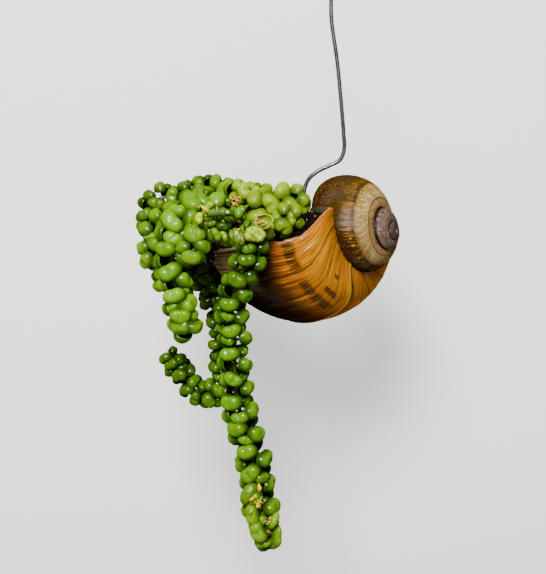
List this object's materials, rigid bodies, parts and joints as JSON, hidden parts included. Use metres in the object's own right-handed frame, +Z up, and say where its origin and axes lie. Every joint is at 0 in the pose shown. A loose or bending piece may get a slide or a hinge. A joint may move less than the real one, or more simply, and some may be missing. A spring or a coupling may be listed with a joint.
{
  "type": "hanging potted succulent",
  "caption": "Trailing succulent with paired domed leaves, planted in the mouth of a snail shell that hangs from a bent wire hook.",
  "frame": {"origin": "inside of the hook's crown, where the wire rests on what it hangs from", "axes": "+Z up, +X towards the shell's spire, -Y towards the plant's front"},
  "size_m": [0.0972, 0.0673, 0.2132],
  "materials": {
    "shell": "glossy, banded snail shell",
    "potting_mix": "rough, dark coir and bark mix",
    "wire": "dull galvanised",
    "bare_stem": "matt plant stem",
    "deep_leaf": "satin, deep green fleshy leaf",
    "leaf": "satin, green fleshy leaf",
    "pale_leaf": "satin, pale lime fleshy leaf"
  },
  "bodies": {
    "root": {"shell": "shell", "potting_mix": "potting_mix", "wire_hanger": "wire", "bare_stem": "bare_stem", "strand_front": "deep_leaf", "strand_rear": "deep_leaf", "strand_left": "leaf", "strand_left_outer": "leaf", "strand_top_left": "leaf", "strand_top_middle": "leaf", "strand_middle": "leaf", "strand_right": "pale_leaf", "strand_right_low": "pale_leaf", "strand_crown": "pale_leaf"}
  },
  "joints": []
}
